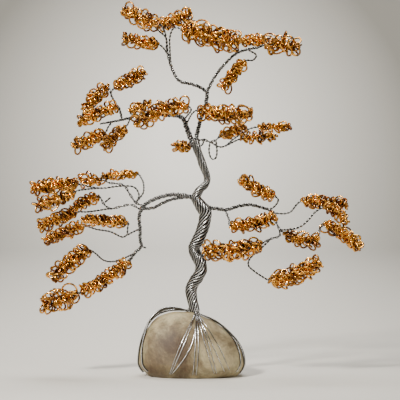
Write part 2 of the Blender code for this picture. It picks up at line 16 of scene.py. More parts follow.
import bpy
import numpy as np
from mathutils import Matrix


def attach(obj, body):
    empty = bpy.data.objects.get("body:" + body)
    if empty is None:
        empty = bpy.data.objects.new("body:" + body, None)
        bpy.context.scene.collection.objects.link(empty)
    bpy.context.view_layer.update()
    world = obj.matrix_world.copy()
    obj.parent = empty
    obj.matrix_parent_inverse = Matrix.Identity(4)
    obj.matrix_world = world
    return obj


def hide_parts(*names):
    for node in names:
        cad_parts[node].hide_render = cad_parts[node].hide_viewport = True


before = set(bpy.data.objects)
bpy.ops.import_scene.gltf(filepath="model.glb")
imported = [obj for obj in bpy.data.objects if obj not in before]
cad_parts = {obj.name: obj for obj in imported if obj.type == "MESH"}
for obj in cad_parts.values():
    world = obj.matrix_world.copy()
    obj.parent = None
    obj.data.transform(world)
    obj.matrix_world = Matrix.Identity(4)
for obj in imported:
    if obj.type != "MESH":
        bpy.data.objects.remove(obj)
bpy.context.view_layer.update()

# %% [markdown]
# ## The pose
#
# The pose of a tree is what makes it this tree. Each limb is a short list of points, in steps of
# a grid that starts at the foot of the trunk: right, back and up. The limbs could be drawn as
# curve objects by hand, but the solids follow the same lists, so the fine wires land on them.

# %% Sizes and the grid
MM = 0.001
TREE_HEIGHT, STEPS_UP = 243 * MM, 304
STEP = TREE_HEIGHT / STEPS_UP
FOOT = np.array([1.75, 0, 50.7]) * MM  # where the trunk leaves the stone
TRUNK_RADIUS = 5.4 * MM
LIMB_RADIUS = 2.8 * MM
LEAF_RADIUS = 10 * MM
STONE_WIDTH, STONE_DEPTH, STONE_HEIGHT = 85 * MM, 56 * MM, 51.5 * MM

# A coil runs from the route's point first to its point last, and share is its size over
# LEAF_RADIUS. A limb's thick and thin ends are shares of LIMB_RADIUS, a twig's of TWIG_RADIUS.
Coil = namedtuple("Coil", "name first last share")
Twig = namedtuple("Twig", "route coils thick", defaults=[1])
Limb = namedtuple("Limb", "name thick thin route coils twigs")
print("one step of the grid in mm:", round(STEP / MM, 3))

# %% The trunk's points, each with its share of the trunk's radius
TRUNK = [
    ((1, 0, -3), 0.53), ((0, 0, 5), 0.64), ((-2, 1, 13), 0.82), ((-3, 1, 22), 0.92),
    ((0, 1, 30), 0.9), ((4, 0, 36), 0.9), ((7, -1, 43), 0.92), ((6, -1, 51), 0.95),
    ((2, 0, 58), 0.92), ((0, 1, 64), 0.92), ((3, 1, 71), 0.9), ((8, 0, 82), 0.91),
    ((11, 0, 94), 0.96), ((11, 0, 101), 1), ((7, 0, 107), 0.86), ((2, 0, 115), 0.7),
    ((6, 0, 123), 0.6), ((12, 0, 129), 0.55), ((13, 0, 136), 0.58), ((9, 0, 147), 0.64),
    ((6, 0, 156), 0.6), ((3, 0, 164), 0.66), ((1, 0, 174), 0.6),
]  # fmt: skip
print(len(TRUNK), "points from the foot to the crown")

# %% The limbs, twigs and the place of each leaf coil
LIMBS = [
    Limb(
        "crown_stem", 0.76, 0.66,
        [(1, 0, 170), (6, 0, 191), (11, 0, 206), (13, 0, 216), (13, 0, 223)],
        [], [],
    ),
    Limb(
        "crown_left_limb", 0.6, 0.46,
        [(13, 0, 221), (5, -1, 226), (-4, -1, 229), (-13, 0, 231), (-18, 0, 236),
         (-23, 1, 247), (-26, 1, 258), (-27, 1, 263), (-27, 1, 268)],
        [],
        [
            Twig([(-27, 1, 263), (-28, -2, 276), (-31, -5, 285), (-36, -6, 288),
                  (-46, -6, 291), (-58, -6, 297), (-70, -6, 302)],
                 [Coil("coil_crown_tip", 3, 6, 0.74)]),
            Twig([(-27, 1, 263), (-28, 5, 275), (-36, 11, 283), (-38, 14, 288), (-22, 14, 292),
                  (-3, 13, 301)], [Coil("coil_crown_top", 3, 5, 0.66)]),
            Twig([(-26, 1, 258), (-31, 0, 265), (-36, -1, 268), (-52, -2, 270),
                  (-71, -2, 275)], [Coil("coil_crown_left", 2, 4, 0.62)]),
            Twig([(-23, 1, 247), (-24, -2, 262), (-24, -6, 275), (-20, -9, 284),
                  (-12, -11, 283), (0, -11, 280), (14, -11, 277), (30, -10, 273),
                  (45, -10, 270)], [Coil("coil_crown_front", 4, 8, 0.96)]),
        ],
    ),
    Limb(
        "crown_right_limb", 0.54, 0.36,
        [(13, 0, 221), (19, 0, 233), (25, 0, 242), (33, 0, 251), (42, -1, 259),
         (53, -3, 263), (64, -5, 265), (71, -6, 268), (88, -6, 268), (104, -6, 264)],
        [Coil("coil_crown_right_tip", 7, 9, 0.88)],
        [
            Twig([(42, -1, 259), (43, 5, 267), (47, 11, 272), (58, 13, 273),
                  (72, 13, 272)], [Coil("coil_crown_right", 2, 4, 0.54)]),
            Twig([(53, -3, 263), (62, 4, 258), (59, 11, 253), (51, 16, 252),
                  (40, 19, 240), (29, 22, 225)], [Coil("coil_crown_hanging", 3, 5, 0.56)]),
        ],
    ),
    Limb(
        "middle_left_limb", 1, 0.3,
        [(-1, 0, 168), (-5, 0, 179), (-8, 0, 187), (-10, 1, 193), (-16, 3, 197),
         (-29, 5, 198), (-46, 5, 199), (-64, 3, 195), (-72, 2, 193), (-82, 0, 191),
         (-94, 0, 189)],
        [],
        [
            Twig([(-8, 0, 187), (-5, -7, 194), (-1, -14, 200), (4, -17, 202), (18, -18, 199),
                  (34, -18, 197), (46, -18, 198), (58, -17, 200)],
                 [Coil("coil_middle_right_front", 3, 7, 0.74)]),
            Twig([(-10, 1, 193), (-7, -9, 197), (-3, -17, 202), (-6, -20, 206),
                  (-22, -20, 206), (-40, -20, 199), (-58, -20, 190)],
                 [Coil("coil_middle_left_front", 3, 6, 0.76)]),
            Twig([(-46, 5, 199), (-60, 12, 198), (-64, 19, 201), (-56, 21, 206),
                  (-43, 21, 211)], [Coil("coil_middle_left_back", 2, 4, 0.46)]),
            Twig([(-64, 3, 195), (-66, 9, 190), (-69, 12, 186), (-80, 13, 176),
                  (-91, 13, 165)], [Coil("coil_middle_left_inner", 2, 4, 0.6)]),
            Twig([(-72, 2, 193), (-73, -5, 200), (-76, -9, 206), (-88, -10, 203),
                  (-102, -10, 197), (-115, -10, 190)],
                 [Coil("coil_middle_left_outer", 2, 5, 0.58)]),
            Twig([(-72, 2, 193), (-75, 2, 203), (-80, 2, 212), (-83, 1, 219), (-79, 0, 225),
                  (-65, 0, 232), (-50, 0, 241)], [Coil("coil_middle_left_top", 4, 6, 0.62)]),
            Twig([(-80, 2, 212), (-84, 9, 221), (-87, 14, 227), (-98, 15, 217),
                  (-110, 15, 202)], [Coil("coil_middle_left_shoulder", 2, 4, 0.64)]),
            Twig([(-82, 0, 191), (-86, -4, 185), (-89, -6, 180), (-104, -7, 173),
                  (-121, -7, 166)], [Coil("coil_middle_left_low", 2, 4, 0.66)]),
        ],
    ),
    Limb(
        "middle_right_limb", 0.5, 0.32,
        [(3, 0, 172), (10, 3, 173), (16, 4, 171), (22, 4, 173), (27, 4, 177), (38, 4, 181),
         (52, 4, 186)],
        [Coil("coil_middle_right_inner", 4, 6, 0.52)],
        [
            Twig([(16, 4, 171), (25, 9, 166), (32, 14, 167), (47, 18, 174), (64, 19, 176),
                  (83, 19, 177)], [Coil("coil_middle_right_low", 3, 5, 0.52)]),
            Twig([(32, 14, 167), (42, 25, 175), (54, 34, 183), (65, 37, 186), (82, 38, 186),
                  (99, 38, 186)], [Coil("coil_middle_right_back", 3, 5, 0.44)]),
            Twig([(10, 3, 173), (8, 12, 168), (3, 22, 166), (-4, 27, 166), (-20, 28, 167)],
                 [Coil("coil_middle_back", 3, 4, 0.5)]),
            Twig([(16, 4, 171), (15, 6, 162), (17, 7, 155), (21, 6, 154), (23, 5, 160),
                  (22, 4, 173)], []),
        ],
    ),
    Limb(
        "left_limb", 0.8, 0.66,
        [(6, 0, 110), (-4, 0, 116), (-14, 0, 118), (-24, 0, 118), (-33, 0, 116), (-41, 0, 113),
         (-48, 0, 109), (-53, 0, 104)],
        [],
        [Twig([(-4, 0, 116), (-14, 0, 115), (-24, -1, 113), (-33, -1, 109), (-41, -1, 105),
               (-53, 0, 104)], [], 2)],
    ),
    Limb(
        "left_drop_limb", 0.66, 0.34,
        [(-52, 0, 105), (-55, 0, 96), (-54, 0, 84), (-54, 0, 74), (-53, 0, 66), (-59, 0, 60),
         (-66, 1, 51), (-76, 2, 43), (-89, 3, 34), (-103, 2, 25), (-113, 1, 20), (-118, 0, 19),
         (-134, -2, 13), (-152, -3, 7)],
        [Coil("coil_left_low_inner", 6, 10, 0.66), Coil("coil_left_low_tip", 11, 13, 0.9)],
        [
            Twig([(-59, 0, 60), (-70, 13, 54), (-82, 16, 50), (-91, 6, 52), (-98, -4, 59),
                  (-104, -10, 63), (-112, -12, 60), (-123, -12, 51), (-134, -12, 42),
                  (-141, -12, 34)], [Coil("coil_left_low_top", 5, 9, 0.76)]),
            Twig([(-54, 0, 84), (-61, -5, 81), (-66, -9, 79), (-66, -10, 86), (-67, -10, 91),
                  (-88, -10, 92), (-112, -10, 94)],
                 [Coil("coil_left_middle_inner", 4, 6, 0.56)]),
            Twig([(-66, -9, 79), (-72, -3, 76), (-84, 2, 81), (-98, 9, 83), (-112, 12, 86),
                  (-132, 12, 79), (-151, 12, 71)], [Coil("coil_left_middle_low", 4, 6, 0.6)]),
            Twig([(-53, 0, 66), (-48, 0, 65)], []),
        ],
    ),
    Limb(
        "left_middle_limb", 0.46, 0.34,
        [(-53, 0, 103), (-63, 4, 108), (-74, 5, 106), (-84, 6, 104), (-91, 8, 109),
         (-96, 10, 116), (-110, 11, 110), (-125, 11, 102)],
        [Coil("coil_left_middle_top", 5, 7, 0.5)],
        [
            Twig([(-84, 6, 104), (-98, 0, 102), (-108, -6, 101), (-117, -12, 101),
                  (-136, -13, 94), (-154, -13, 87)], [Coil("coil_left_middle_tip", 3, 5, 0.6)]),
            Twig([(-91, 8, 109), (-84, 7, 115)], []),
        ],
    ),
    Limb(
        "left_upper_limb", 0.48, 0.34,
        [(-50, 0, 107), (-58, 2, 110), (-64, 4, 118), (-70, 6, 127), (-77, 8, 129),
         (-86, 10, 130), (-93, 11, 133), (-115, 11, 131)],
        [Coil("coil_left_top_inner", 6, 7, 0.64)],
        [
            Twig([(-58, 2, 110), (-55, -4, 118), (-60, -8, 126), (-74, -10, 127),
                  (-94, -10, 125), (-116, -8, 129), (-132, -6, 129), (-147, -6, 127),
                  (-162, -6, 124)], [Coil("coil_left_top_tip", 5, 8, 0.66)]),
            Twig([(-94, -10, 125), (-107, -20, 124), (-118, -26, 122), (-136, -27, 114),
                  (-156, -26, 107)], [Coil("coil_left_top_low", 2, 4, 0.66)]),
            Twig([(-58, 2, 110), (-51, 8, 120), (-51, 17, 129), (-54, 28, 135),
                  (-58, 32, 138), (-75, 33, 137), (-94, 33, 136)],
                 [Coil("coil_left_top_back", 4, 6, 0.42)]),
        ],
    ),
    Limb(
        "right_limb", 0.72, 0.5,
        [(8, 0, 105), (16, 0, 105), (24, 0, 104), (32, 0, 103), (39, 0, 105), (46, 0, 107),
         (57, 0, 108), (69, 0, 105), (75, 0, 103), (80, 0, 100)],
        [],
        [
            Twig([(75, 0, 103), (81, -3, 107), (84, -6, 113), (80, -8, 117), (72, -8, 119),
                  (60, -8, 125), (46, -8, 135)], [Coil("coil_right_top", 3, 6, 0.56)]),
            Twig([(80, 0, 100), (89, 1, 99), (97, 3, 101), (103, 5, 108), (108, 7, 111),
                  (120, 8, 111), (136, 8, 110), (154, 8, 108)],
                 [Coil("coil_right_tip_top", 4, 7, 0.6)]),
        ],
    ),
    Limb(
        "right_outer_limb", 0.48, 0.34,
        [(78, 0, 100), (82, -1, 91), (86, -3, 83), (91, -5, 80), (103, -5, 74), (118, -5, 71),
         (124, -4, 74), (126, 1, 83), (131, 6, 88), (140, 8, 84), (153, 9, 76), (168, 8, 64)],
        [Coil("coil_right_middle", 3, 6, 0.6), Coil("coil_right_tip_low", 8, 11, 0.62)],
        [
            Twig([(86, -3, 83), (96, -12, 84), (106, -15, 87), (114, -16, 94), (120, -15, 101),
                  (129, -14, 106), (138, -13, 104), (146, -12, 98), (152, -12, 90)],
                 [Coil("coil_right_tip_front", 5, 8, 0.56)]),
        ],
    ),
    Limb(
        "right_front_limb", 0.44, 0.34,
        [(32, 0, 103), (33, -9, 99), (35, -19, 94), (37, -27, 88), (55, -28, 90), (68, -28, 93),
         (80, -28, 98)],
        [Coil("coil_right_front_top", 3, 6, 0.66)], [],
    ),
    Limb(
        "right_low_limb", 0.44, 0.34,
        [(86, -3, 83), (85, -10, 77), (76, -22, 75), (66, -35, 71), (51, -38, 66),
         (31, -38, 65), (8, -37, 64)],
        [Coil("coil_right_front_low", 3, 6, 0.84)],
        [
            Twig([(76, -22, 75), (67, -20, 66), (56, -20, 56), (54, -24, 49), (59, -28, 44),
                  (66, -27, 39), (76, -24, 34), (92, -22, 36), (107, -22, 43), (125, -22, 52)],
                 [Coil("coil_right_low", 6, 9, 0.8)]),
        ],
    ),
]  # fmt: skip
print(len(LIMBS), "limbs,", sum(len(limb.twigs) for limb in LIMBS), "twigs")

# %% [markdown]
# ## From a few points to a smooth line
#
# A hand-bent wire has no corners. A curve of cubic spans goes through every point of the list
# and turns smoothly between them. It is then read off again at even steps, because everything
# that twists has to turn by the same angle for each millimetre.


# %% Smooth lines
SAMPLES_PER_POINT = 60


def smooth_line(points, spacing, first=0, last=None):
    """On each span the point is a cubic of the span's two ends and their two neighbours.

    The curve leaves each point in parallel to the line between the points before and after it.
    Returns points at even steps of about that spacing, from control point first to last, and
    how far along the curve each one is.
    """
    control = np.asarray(points, float)
    last = len(control) - 1 if last is None else last
    padded = np.vstack([2 * control[0] - control[1], control, 2 * control[-1] - control[-2]])
    u = np.linspace(first, last, SAMPLES_PER_POINT * len(control))
    span = np.minimum(u.astype(int), len(control) - 2)
    t = (u - span)[:, None]
    a, b, c, d = (padded[span + k] for k in range(4))
    square, cube = 2 * a - 5 * b + 4 * c - d, 3 * b - a - 3 * c + d
    line = 0.5 * (2 * b + (c - a) * t + square * t**2 + cube * t**3)
    length = np.concatenate([[0], np.cumsum(np.linalg.norm(np.diff(line, axis=0), axis=1))])
    even = np.linspace(0, length[-1], max(3, round(length[-1] / spacing) + 1))
    return np.column_stack([np.interp(even, length, line[:, k]) for k in range(3)]), even


def unit(vectors):
    """Each vector over its own length."""
    return vectors / np.linalg.norm(vectors, axis=-1, keepdims=True)


def frames(line):
    """Tangent, side and up along a line: side = still x tangent, up = tangent x side.

    still is the one of six fixed directions that stays furthest from the tangent.
    """
    tangent = unit(np.gradient(line, axis=0))
    choices = unit(np.array([[0, 1, 0], [1, 0, 0], [0, 0, 1], [0, 1, 1], [1, 1, 0], [1, 0, 1.0]]))
    still = choices[np.abs(tangent @ choices.T).max(axis=0).argmin()]
    side = unit(np.cross(still, tangent))
    return tangent, side, np.cross(tangent, side)


def on_grid(points):
    """Place = foot of the trunk + steps x size of a step."""
    return FOOT + np.array(points, float) * STEP


trunk_points = on_grid([point for point, _ in TRUNK])
trunk_line, trunk_along = smooth_line(trunk_points, 1.1 * MM)
print("the trunk is", round(trunk_along[-1] / MM), "mm long")

# %% [markdown]
# ## Wire
#
# A wire is a circle carried along a line. At each point of the line the circle stands square to
# it. To know where the circle starts, each point also gets a direction that the wire never runs
# along, such as the way out from the middle of the rope that the wire belongs to. A curve object
# with a round bevel would look the same, but it can't say which side of a wire faces inwards.


# %% A round section carried along lines
def tube(lines, outward, radius, sides=6):
    """Point (i, k) = line(i) + radius (cos a(k) side(i) + sin a(k) up(i)), with a(k) = 2 pi k / sides.

    lines and outward have the shape (wires, points, 3). Returns the points, the faces, and for each point how
    far it faces away from outward, which the finish paints as shade: painted shade = (1 - sin a(k)) / 2.
    """
    lines, outward = np.atleast_3d(lines), np.atleast_3d(outward)
    wires, count, _ = lines.shape
    tangent = unit(np.gradient(lines, axis=1))
    side = unit(np.cross(outward, tangent))
    up = np.cross(tangent, side)
    angle = np.arange(sides) * 2 * math.pi / sides
    radius = np.broadcast_to(np.asarray(radius, float), (wires, count))[..., None, None]
    ring = np.cos(angle)[:, None] * side[:, :, None] + np.sin(angle)[:, None] * up[:, :, None]
    points = (lines[:, :, None] + radius * ring).reshape(-1, 3)
    index = np.arange(wires * count * sides).reshape(wires, count, sides)
    here, there = index[:, :-1], index[:, 1:]
    quads = np.stack([here, np.roll(here, -1, 2), np.roll(there, -1, 2), there], -1).reshape(-1, 4)
    caps = np.concatenate([index[:, 0, ::-1], index[:, -1]])
    # Painted shade: the side of each wire that faces into its rope is marked for the finish to darken.
    groove = np.tile((1 - np.sin(angle)) / 2, wires * count)
    return points, quads.tolist() + caps.tolist(), groove


def make_piece(name, shapes, material, slot, *nodes):
    """One object at the origin from several (points, faces, painted shade), in place of the solids named.

    Returns how many faces it has.
    """
    faces, start = [], 0
    for shape_points, shape_faces, _ in shapes:
        faces += [[corner + start for corner in face] for face in shape_faces]
        start += len(shape_points)
    mesh = bpy.data.meshes.new(name)
    mesh.from_pydata(np.vstack([shape[0] for shape in shapes]), [], faces)
    # This attribute carries the painted shade to the finish.
    groove = mesh.attributes.new("groove", "FLOAT", "POINT")
    groove.data.foreach_set("value", np.concatenate([shape[2] for shape in shapes]))
    mesh.shade_smooth()
    mesh.materials.append(material)
    piece = bpy.data.objects.new(name, mesh)
    bpy.context.scene.collection.objects.link(piece)
    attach(piece, "root")
    if nodes:
        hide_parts(*nodes)
    return len(faces)


# %% [markdown]
# ## Finishes
#
# The silver wire is bright craft wire. It is metal all through, so the shader is fully metallic,
# and only its tone and gloss wander a little. The copper wire has a clear enamel on it. The
# enamel gives a second, sharper reflection over the warm metal, which is what a coat is for.
#
# Both wires use the same wandering tone, so it is a node group: made once, used with other values. It also
# paints shade, as a darker colour, on the side of a wire that faces into its rope, where little light gets.


# %% Helpers for nodes
def new_group(name, inputs, outputs):
    """A group from (name, kind, value) inputs and (name, kind) outputs, with its two end nodes."""
    group = bpy.data.node_groups.new(name, "ShaderNodeTree")
    for socket, kind, value in inputs:
        made = group.interface.new_socket(socket, in_out="INPUT", socket_type=kind)
        made.default_value = value
    for socket, kind in outputs:
        group.interface.new_socket(socket, in_out="OUTPUT", socket_type=kind)
    return group, group.nodes.new("NodeGroupInput"), group.nodes.new("NodeGroupOutput")


def add_node(tree, kind, values=None, **links):
    """Adds a node, sets its fields, and feeds its inputs from (node, socket) pairs or values.

    An input is called by its name with _ for each space, or by _ and its number where several
    inputs of the node have one name.
    """
    node = tree.nodes.new(kind)
    for field, value in (values or {}).items():
        setattr(node, field, value)
    for socket, source in links.items():
        key = int(socket[1:]) if socket[0] == "_" else socket.replace("_", " ")
        if isinstance(source, tuple) and isinstance(source[0], bpy.types.Node):
            tree.links.new(source[0].outputs[source[1]], node.inputs[key])
        else:
            node.inputs[key].default_value = source
    return node


def mix_colours(tree, share, first, second, blend="MIX"):
    """The first colour and, by that share, the second one over it. Returns (node, socket)."""
    fields = {"data_type": "RGBA", "blend_type": blend}
    return add_node(tree, "ShaderNodeMix", fields, _0=share, _6=first, _7=second), 2


# %% Tone drift and painted shade
COLOUR, NUMBER = "NodeSocketColor", "NodeSocketFloat"
drift, given, result = new_group(
    "tone drift",
    [("Scale", NUMBER, 100), ("Pale", COLOUR, (1, 1, 1, 1)), ("Deep", COLOUR, (0, 0, 0, 1)),
     ("Groove", COLOUR, (0, 0, 0, 1)), ("Smooth", NUMBER, 0.2), ("Rough", NUMBER, 0.4)],
    [("Colour", COLOUR), ("Roughness", NUMBER)],
)  # fmt: skip
place = add_node(drift, "ShaderNodeTexCoord")
cloud = add_node(drift, "ShaderNodeTexNoise", Vector=(place, "Object"), Scale=(given, "Scale"), Detail=3.0)
spread = add_node(drift, "ShaderNodeMapRange", Value=(cloud, "Fac"), From_Min=0.35, From_Max=0.65)
blend = mix_colours(drift, (spread, "Result"), (given, "Pale"), (given, "Deep"))
gloss = add_node(
    drift, "ShaderNodeMix", {"data_type": "FLOAT"},
    _0=(spread, "Result"), _2=(given, "Smooth"), _3=(given, "Rough"),
)
# Painted shade: where the attribute is high, the colour turns dark, standing in for the shade between wires.
inner = add_node(drift, "ShaderNodeAttribute", {"attribute_name": "groove"})
shade = add_node(
    drift, "ShaderNodeMapRange", {"interpolation_type": "SMOOTHSTEP"},
    Value=(inner, "Fac"), From_Min=0.02, From_Max=0.32,
)
lined, lined_colour = mix_colours(drift, (shade, "Result"), blend, (given, "Groove"))
drift.links.new(lined.outputs[lined_colour], result.inputs["Colour"])
drift.links.new(gloss.outputs[0], result.inputs["Roughness"])
print("node group:", drift.name, "with", len(drift.nodes), "nodes")


# %% Silver and copper wire
def new_material(name, **constants):
    """A material whose shader has those constants. Returns it, its node tree and its shader."""
    material = bpy.data.materials.new(name)
    material.use_nodes = True
    shader = material.node_tree.nodes["Principled BSDF"]
    for socket, value in constants.items():
        shader.inputs[socket.replace("_", " ")].default_value = value
    return material, material.node_tree, shader


def wire_finish(name, scale, pale, deep, groove, smooth, rough, **constants):
    """Metal whose colour drifts from pale to deep and turns to a colour of painted shade where a wire faces
    inwards.
    """
    material, tree, shader = new_material(name, Metallic=1.0, **constants)
    tone = add_node(
        tree, "ShaderNodeGroup", {"node_tree": drift}, Scale=scale, Pale=(*pale, 1), Deep=(*deep, 1),
        Groove=(*groove, 1), Smooth=smooth, Rough=rough,
    )
    tree.links.new(tone.outputs["Colour"], shader.inputs["Base Color"])
    tree.links.new(tone.outputs["Roughness"], shader.inputs["Roughness"])
    return material


# The third colour of each wire finish is painted shade, for the sides of wires that face into their rope.
silver = wire_finish(
    "silver craft wire", scale=160, pale=(0.50, 0.49, 0.47), deep=(0.26, 0.255, 0.245),
    groove=(0.02, 0.018, 0.016), smooth=0.2, rough=0.32,
)
# The roots are the trunk's own wires in a paler copy of its silver: painted light, so that they read as
# brightly lit.
painted_lit_silver = wire_finish(
    "silver wire painted lit", scale=120, pale=(0.78, 0.77, 0.74), deep=(0.50, 0.49, 0.47),
    groove=(0.10, 0.095, 0.09), smooth=0.16, rough=0.26,
)
copper = wire_finish(
    "enamelled copper wire", scale=120, pale=(0.95, 0.47, 0.07), deep=(0.16, 0.052, 0.010),
    groove=(0.12, 0.038, 0.008), smooth=0.10, rough=0.22, Coat_Weight=0.2, Coat_Roughness=0.1,
)
print("finishes:", ", ".join(finish.name for finish in (silver, painted_lit_silver, copper)))

# %% [markdown]
# ## Ropes and twisted pairs
#
# The maker twists wires into strands and strands into a rope. On paper that is a small circle
# that turns while its centre goes round a larger one. Each wire of a strand starts at its own
# angle on the small circle, and each strand at its own angle on the large one.


# %% A rope of strands of wires
# The waves of a loose strand in radians for each metre, what a higher pace adds to that, and the
# shift from strand to strand in radians.
WAVE, WAVE_MORE, WAVE_SHIFT = 310, 43, 2.4


def rope(line, along, reach, own, strands, wires, wire_radius, lay, strand_lay, loose=0.0, sides=6):
    """Wire (s, w) = line + reach out(s) + own (cos b out(s) + sin b round(s)).

    out(s) turns round the line by lay radians for each metre, b by strand_lay. reach is the
    distance of a strand's middle from the line, and own that of a wire from the strand's middle.
    A loose rope's strands rise and fall by that share of reach, each in waves of its own pace.
    """
    tangent, side, up = frames(line)
    reach, own = np.broadcast_to(reach, along.shape), np.broadcast_to(own, along.shape)
    lines, outward = [], []
    for s in range(strands):
        pace = s * 5 % 7
        wave = loose * np.sin(along * (WAVE + WAVE_MORE * pace) + WAVE_SHIFT * s)
        a = (lay * along + 2 * math.pi * s / strands + wave)[:, None]
        out = np.cos(a) * side + np.sin(a) * up
        turned = np.cross(tangent, out)
        for w in range(wires):
            b = (strand_lay * along + 2 * math.pi * w / wires)[:, None]
            way = np.cos(b) * out + np.sin(b) * turned
            lines.append(line + (reach * (1 + wave))[:, None] * out + own[:, None] * way)
            outward.append(way if wires > 1 else out)
    return tube(np.array(lines), np.array(outward), wire_radius, sides)


# %% [markdown]
# ## The trunk
#
# The trunk is one thick bundle, wrung so that the wires climb to the right at the front. It bulges where it
# was gripped and bent, and it wanders from side to side. At the foot it swells, because the wires part there
# for the roots. A core keeps light from falling through it, and it is coloured all over in the dark colour of
# painted shade, for the shade between the wires.
# Grooves could be painted on a smooth pole, but its outline would stay smooth. Strands notch it.

# %% How thick the trunk is
TRUNK_WIRE = 0.74 * MM
FOOT_SWELL, SWELL_STEPS = 1.3 * MM, 9
share_along = np.interp(
    np.linspace(0, 1, len(trunk_line)), np.linspace(0, 1, len(TRUNK)), [share for _, share in TRUNK]
)
steps_up = (trunk_line[:, 2] - FOOT[2]) / STEP
foot_swell = FOOT_SWELL * np.exp(-((steps_up / SWELL_STEPS) ** 2))
trunk_reach = share_along * TRUNK_RADIUS - TRUNK_WIRE + foot_swell
print("trunk wires lie", round(trunk_reach.min() / MM, 1), "to", round(trunk_reach.max() / MM, 1), "mm out")

# %% Trunk
TRUNK_WIRES = 11
TRUNK_LAY = 160  # radians for each metre, more where it is wrung
TRUNK_LOOSE = 0.04
CORE_INSET = 0.3 * MM
# The core is coloured all over in the painted shade colour: painted shade seen between the wires.
core = tube(trunk_line[None], frames(trunk_line)[1][None], trunk_reach - CORE_INSET, sides=24)
core[2][:] = 1  # all groove, so all dark
wrung = np.ones(len(trunk_line))
for steps, width, more in ((62, 7, 1.3), (26, 6, 0.4)):  # two places where it is wrung tighter
    wrung += more * np.exp(-(((steps_up - steps) / width) ** 2))
trunk_turn = np.concatenate([[0], np.cumsum(wrung[1:] * np.diff(trunk_along))])
# The wires are finer where the bundle is thin or wrung.
gauge = TRUNK_WIRE * (trunk_reach / trunk_reach.max()) ** 0.6 / wrung**0.4
bundle = rope(
    trunk_line, trunk_turn, trunk_reach, own=0, strands=TRUNK_WIRES, wires=1, wire_radius=gauge,
    lay=TRUNK_LAY, strand_lay=0, loose=TRUNK_LOOSE, sides=8,
)
count = make_piece("trunk_wires", [core, bundle], silver, "silver_wire", "trunk")
print("trunk faces:", count)

# %% [markdown]
# ## Limbs and twigs
#
# A limb has fewer wires than the trunk, and a twig is one twisted pair. They start inside the
# limb that they leave, as the real wires do, so a fork needs no joint.

# %% Ropes for limbs and twigs
TWIG_RADIUS = 0.8 * MM
PAIR_WIRE = 0.42 * MM
PAIR_APART = 1.02 * PAIR_WIRE
PAIR_LAY, LIMB_LAY, STRAND_LAY = 1050, 450, 1000  # radians for each metre
THREE_STRANDS_FROM = 1.5 * MM


def twisted_pair(route):
    """Two wires wound round each other along a route of grid points."""
    line, along = smooth_line(on_grid(route), 0.6 * MM)
    strands, wires = 2, 1
    return rope(line, along, PAIR_APART, 0, strands, wires, PAIR_WIRE, PAIR_LAY, 0)


def limb_rope(route, thick, thin):
    """Two or three twisted pairs wound round each other. The radius runs evenly from thick to thin."""
    line, along = smooth_line(on_grid(route), 0.8 * MM)
    radius = np.linspace(thick, thin, len(line))
    strands, wires = (3 if thick > THREE_STRANDS_FROM else 2), 2
    return rope(line, along, radius / 2, radius / 4, strands, wires, radius / 4, LIMB_LAY, STRAND_LAY)


def twig_rope(twig):
    """A twisted pair, or a thin limb where the twig is thicker than a pair."""
    radius = twig.thick * TWIG_RADIUS
    return twisted_pair(twig.route) if twig.thick == 1 else limb_rope(twig.route, radius, radius)


# %% Limbs and twigs
total = 0
for limb in LIMBS:
    shapes = [limb_rope(limb.route, limb.thick * LIMB_RADIUS, limb.thin * LIMB_RADIUS)]
    shapes += [twig_rope(twig) for twig in limb.twigs]
    total += make_piece(limb.name + "_wires", shapes, silver, "silver_wire", limb.name)
print("limb and twig faces:", total)

# %% [markdown]
# ## Leaves
#
# A leaf coil is a wire wound twice. First the wire is wound into a row of loops, like a spring.
# Then the spring is wound round the twig, so that its loops stand out on all sides like petals.
# Some loops lie along the twig and look like rings, others go round it and look like the teeth
# of a comb. Done by hand, no two come out the same: size, lean and turn wander from loop to loop.
# Loose rings would be easier to scatter, but a real coil is one wire, and the eye follows it.

# %% Sizes of the leaf coils
LEAF_WIRE = 0.77 * MM
TWIG_CLEARANCE = 0.05 * MM
TURN_PITCH = 4.1 * MM
LOOPS_PER_TURN = 4.9
LOOP_SHARE = 0.65  # radius of a loop over the reach of the coil
LOOP_TURN = 0.8  # radians, from along the twig to round it
POINTS_PER_LOOP = 16
LEAF_ENDS = 0.1  # share of the coil's length in which its loops grow or shrink
LEAF_BLUNT = 0.45  # the power by which they do: the lower, the blunter the ends
# LEAF_SHADE is painted shade on the loops next to the twig, where the coil shades itself.
LEAF_SHADE = 0.16  # groove value next to the twig
FEWEST, MOST = 0.9, 1.15  # how far the numbers of turns and loops go from the rule
ROUND_WANDER, SIZE_WANDER, LEAN_WANDER, TURN_WANDER = 0.12, 0.13, 0.26, 0.3
print("loops for each mm of twig:", round(LOOPS_PER_TURN / TURN_PITCH * MM, 1))


# %% One leaf coil
def wander(random, loops, count, size):
    """One random number for each loop, carried smoothly from loop to loop."""
    knots = random.normal(0, size, loops + 2)
    return np.interp(np.linspace(0, loops + 1, count), np.arange(loops + 2), knots)


